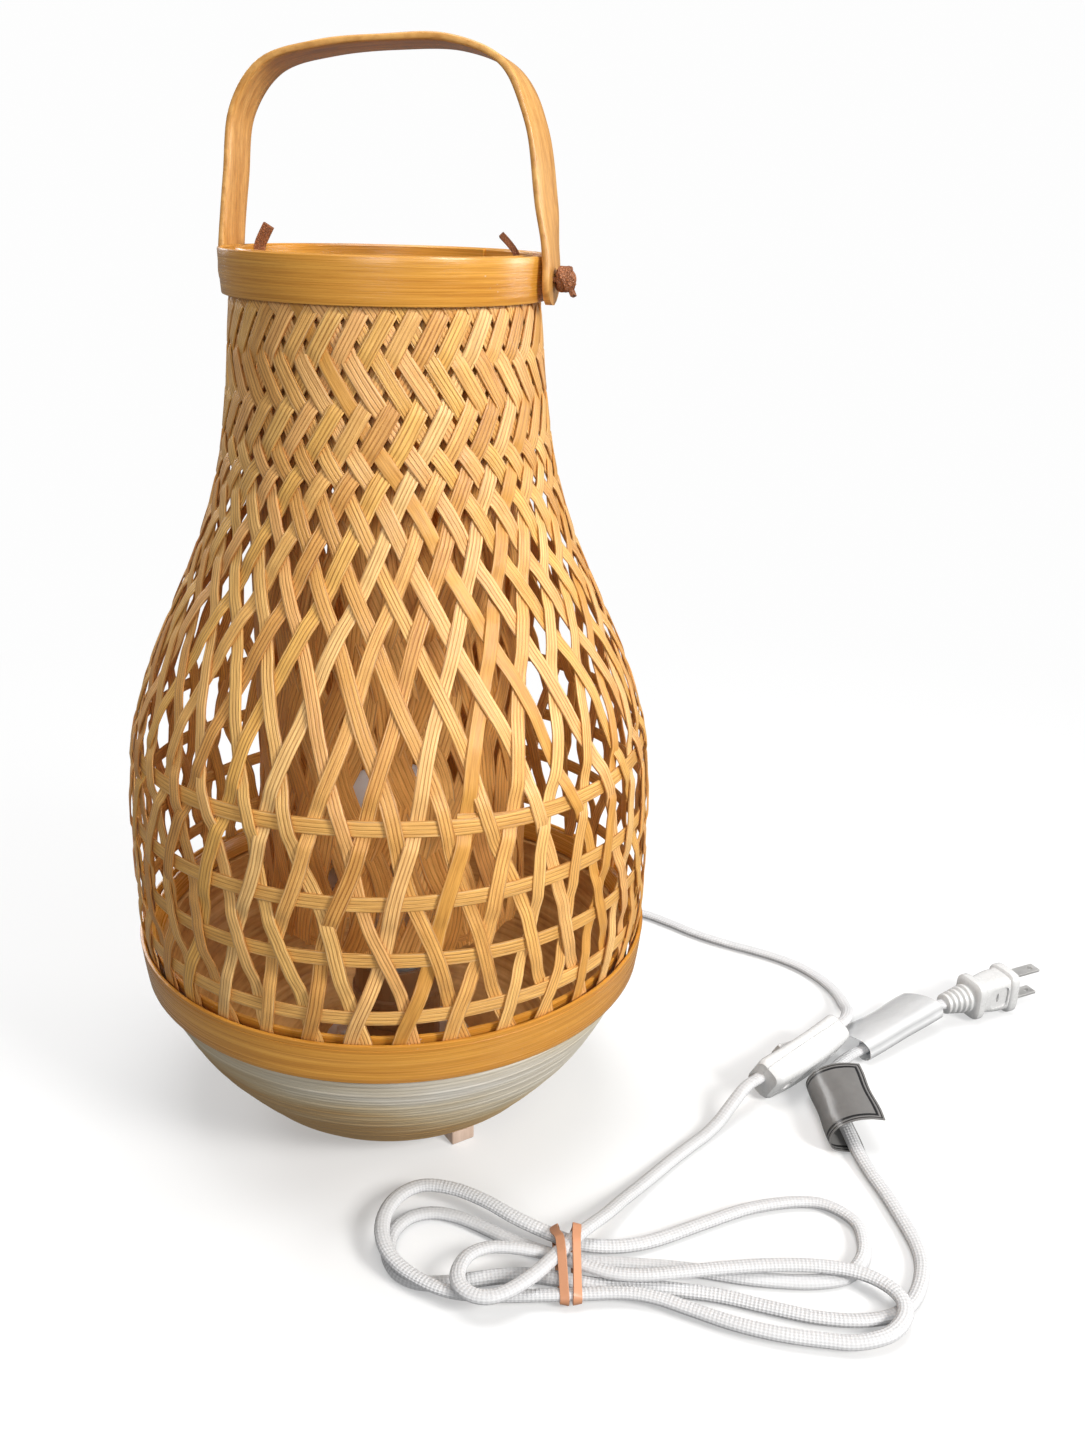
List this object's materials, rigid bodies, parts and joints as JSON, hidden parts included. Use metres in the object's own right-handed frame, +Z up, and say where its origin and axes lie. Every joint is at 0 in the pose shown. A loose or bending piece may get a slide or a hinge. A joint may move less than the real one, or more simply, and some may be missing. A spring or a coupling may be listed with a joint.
{
  "type": "table_lamp",
  "caption": "Bamboo lantern table lamp: a bottle-shaped open weave on a coiled bowl, with a swing handle, a bulb inside and a bundled mains cord with a rocker switch and plug",
  "frame": {"origin": "on the floor, on the lamp's axis", "axes": "Z up, X along the handle's pivot axis, Y to the side that the handle leans to"},
  "size_m": [0.3971, 0.3048, 0.4266],
  "materials": {
    "bamboo_gold": "smooth oiled honey bamboo",
    "bamboo_strip": "split bamboo strips, ribbed, satin",
    "bamboo_dark": "shaded inner bamboo weave, satin",
    "bamboo_white": "whitewashed coiled bamboo, satin",
    "wood_foot": "bare wood block",
    "leather_brown": "embossed brown leather strip",
    "steel": "bright plated steel",
    "brass": "bright brass",
    "brown_plastic": "brown moulded plastic",
    "white_plastic": "white moulded plastic",
    "opal": "opal white",
    "cord_textile": "white woven textile sleeve",
    "rubber_tan": "tan rubber band",
    "label_film": "satin silver film"
  },
  "bodies": {
    "lamp": {"rim_outer_band": "bamboo_gold", "rim_inner_band": "bamboo_gold", "lower_outer_band": "bamboo_gold", "lower_inner_band": "bamboo_gold", "shade_weave": "bamboo_strip", "hoop_1": "bamboo_strip", "hoop_2": "bamboo_strip", "hoop_3": "bamboo_strip", "hoop_4": "bamboo_strip", "inner_sleeve": "bamboo_dark", "bowl": "bamboo_white", "foot_1": "wood_foot", "foot_2": "wood_foot", "foot_3": "wood_foot", "leather_tie_left": "leather_brown", "leather_tie_right": "leather_brown", "mount_plate": "steel", "plate_screw_1": "steel", "plate_screw_2": "steel", "switch_screw_1": "steel", "switch_screw_2": "steel", "plug_blade_1": "steel", "plug_blade_2": "steel", "screw_shell": "brass", "centre_contact": "brass", "holder_cap": "brown_plastic", "holder_skirt": "brown_plastic", "cord_gland": "white_plastic", "switch_base": "white_plastic", "switch_cover": "white_plastic", "plug_body": "white_plastic", "plug_relief": "white_plastic", "holder_insulator": "opal", "cord_lead": "cord_textile", "cord_feed": "cord_textile", "cord_hank": "cord_textile", "cord_tail": "cord_textile", "inner_lead": "cord_textile", "rubber_band": "rubber_tan", "rating_label": "label_film", "film_label": "label_film"},
    "bail": {"handle": "bamboo_gold"},
    "rocker": {"switch_rocker": "white_plastic"},
    "bulb": {"bulb_globe": "opal", "bulb_body": "opal", "bulb_cap": "steel", "bulb_contact": "brass"}
  },
  "joints": [
    {"name": "handle_swing", "type": "hinge", "parent": "lamp", "child": "bail", "pos_m": [0, 0, 0.3475], "axis": [1, 0, 0], "range_deg": [-107, 117]},
    {"name": "rocker_tip", "type": "hinge", "parent": "lamp", "child": "rocker", "pos_m": [0.17559, 0.04862, 0.01255], "axis": [-0.4029, 0.2409, -0.8829], "range_deg": [-12, 0]},
    {"name": "bulb_out", "type": "slide", "parent": "lamp", "child": "bulb", "axis": [0, 0, 1], "range_m": [0, 0.028]}
  ]
}
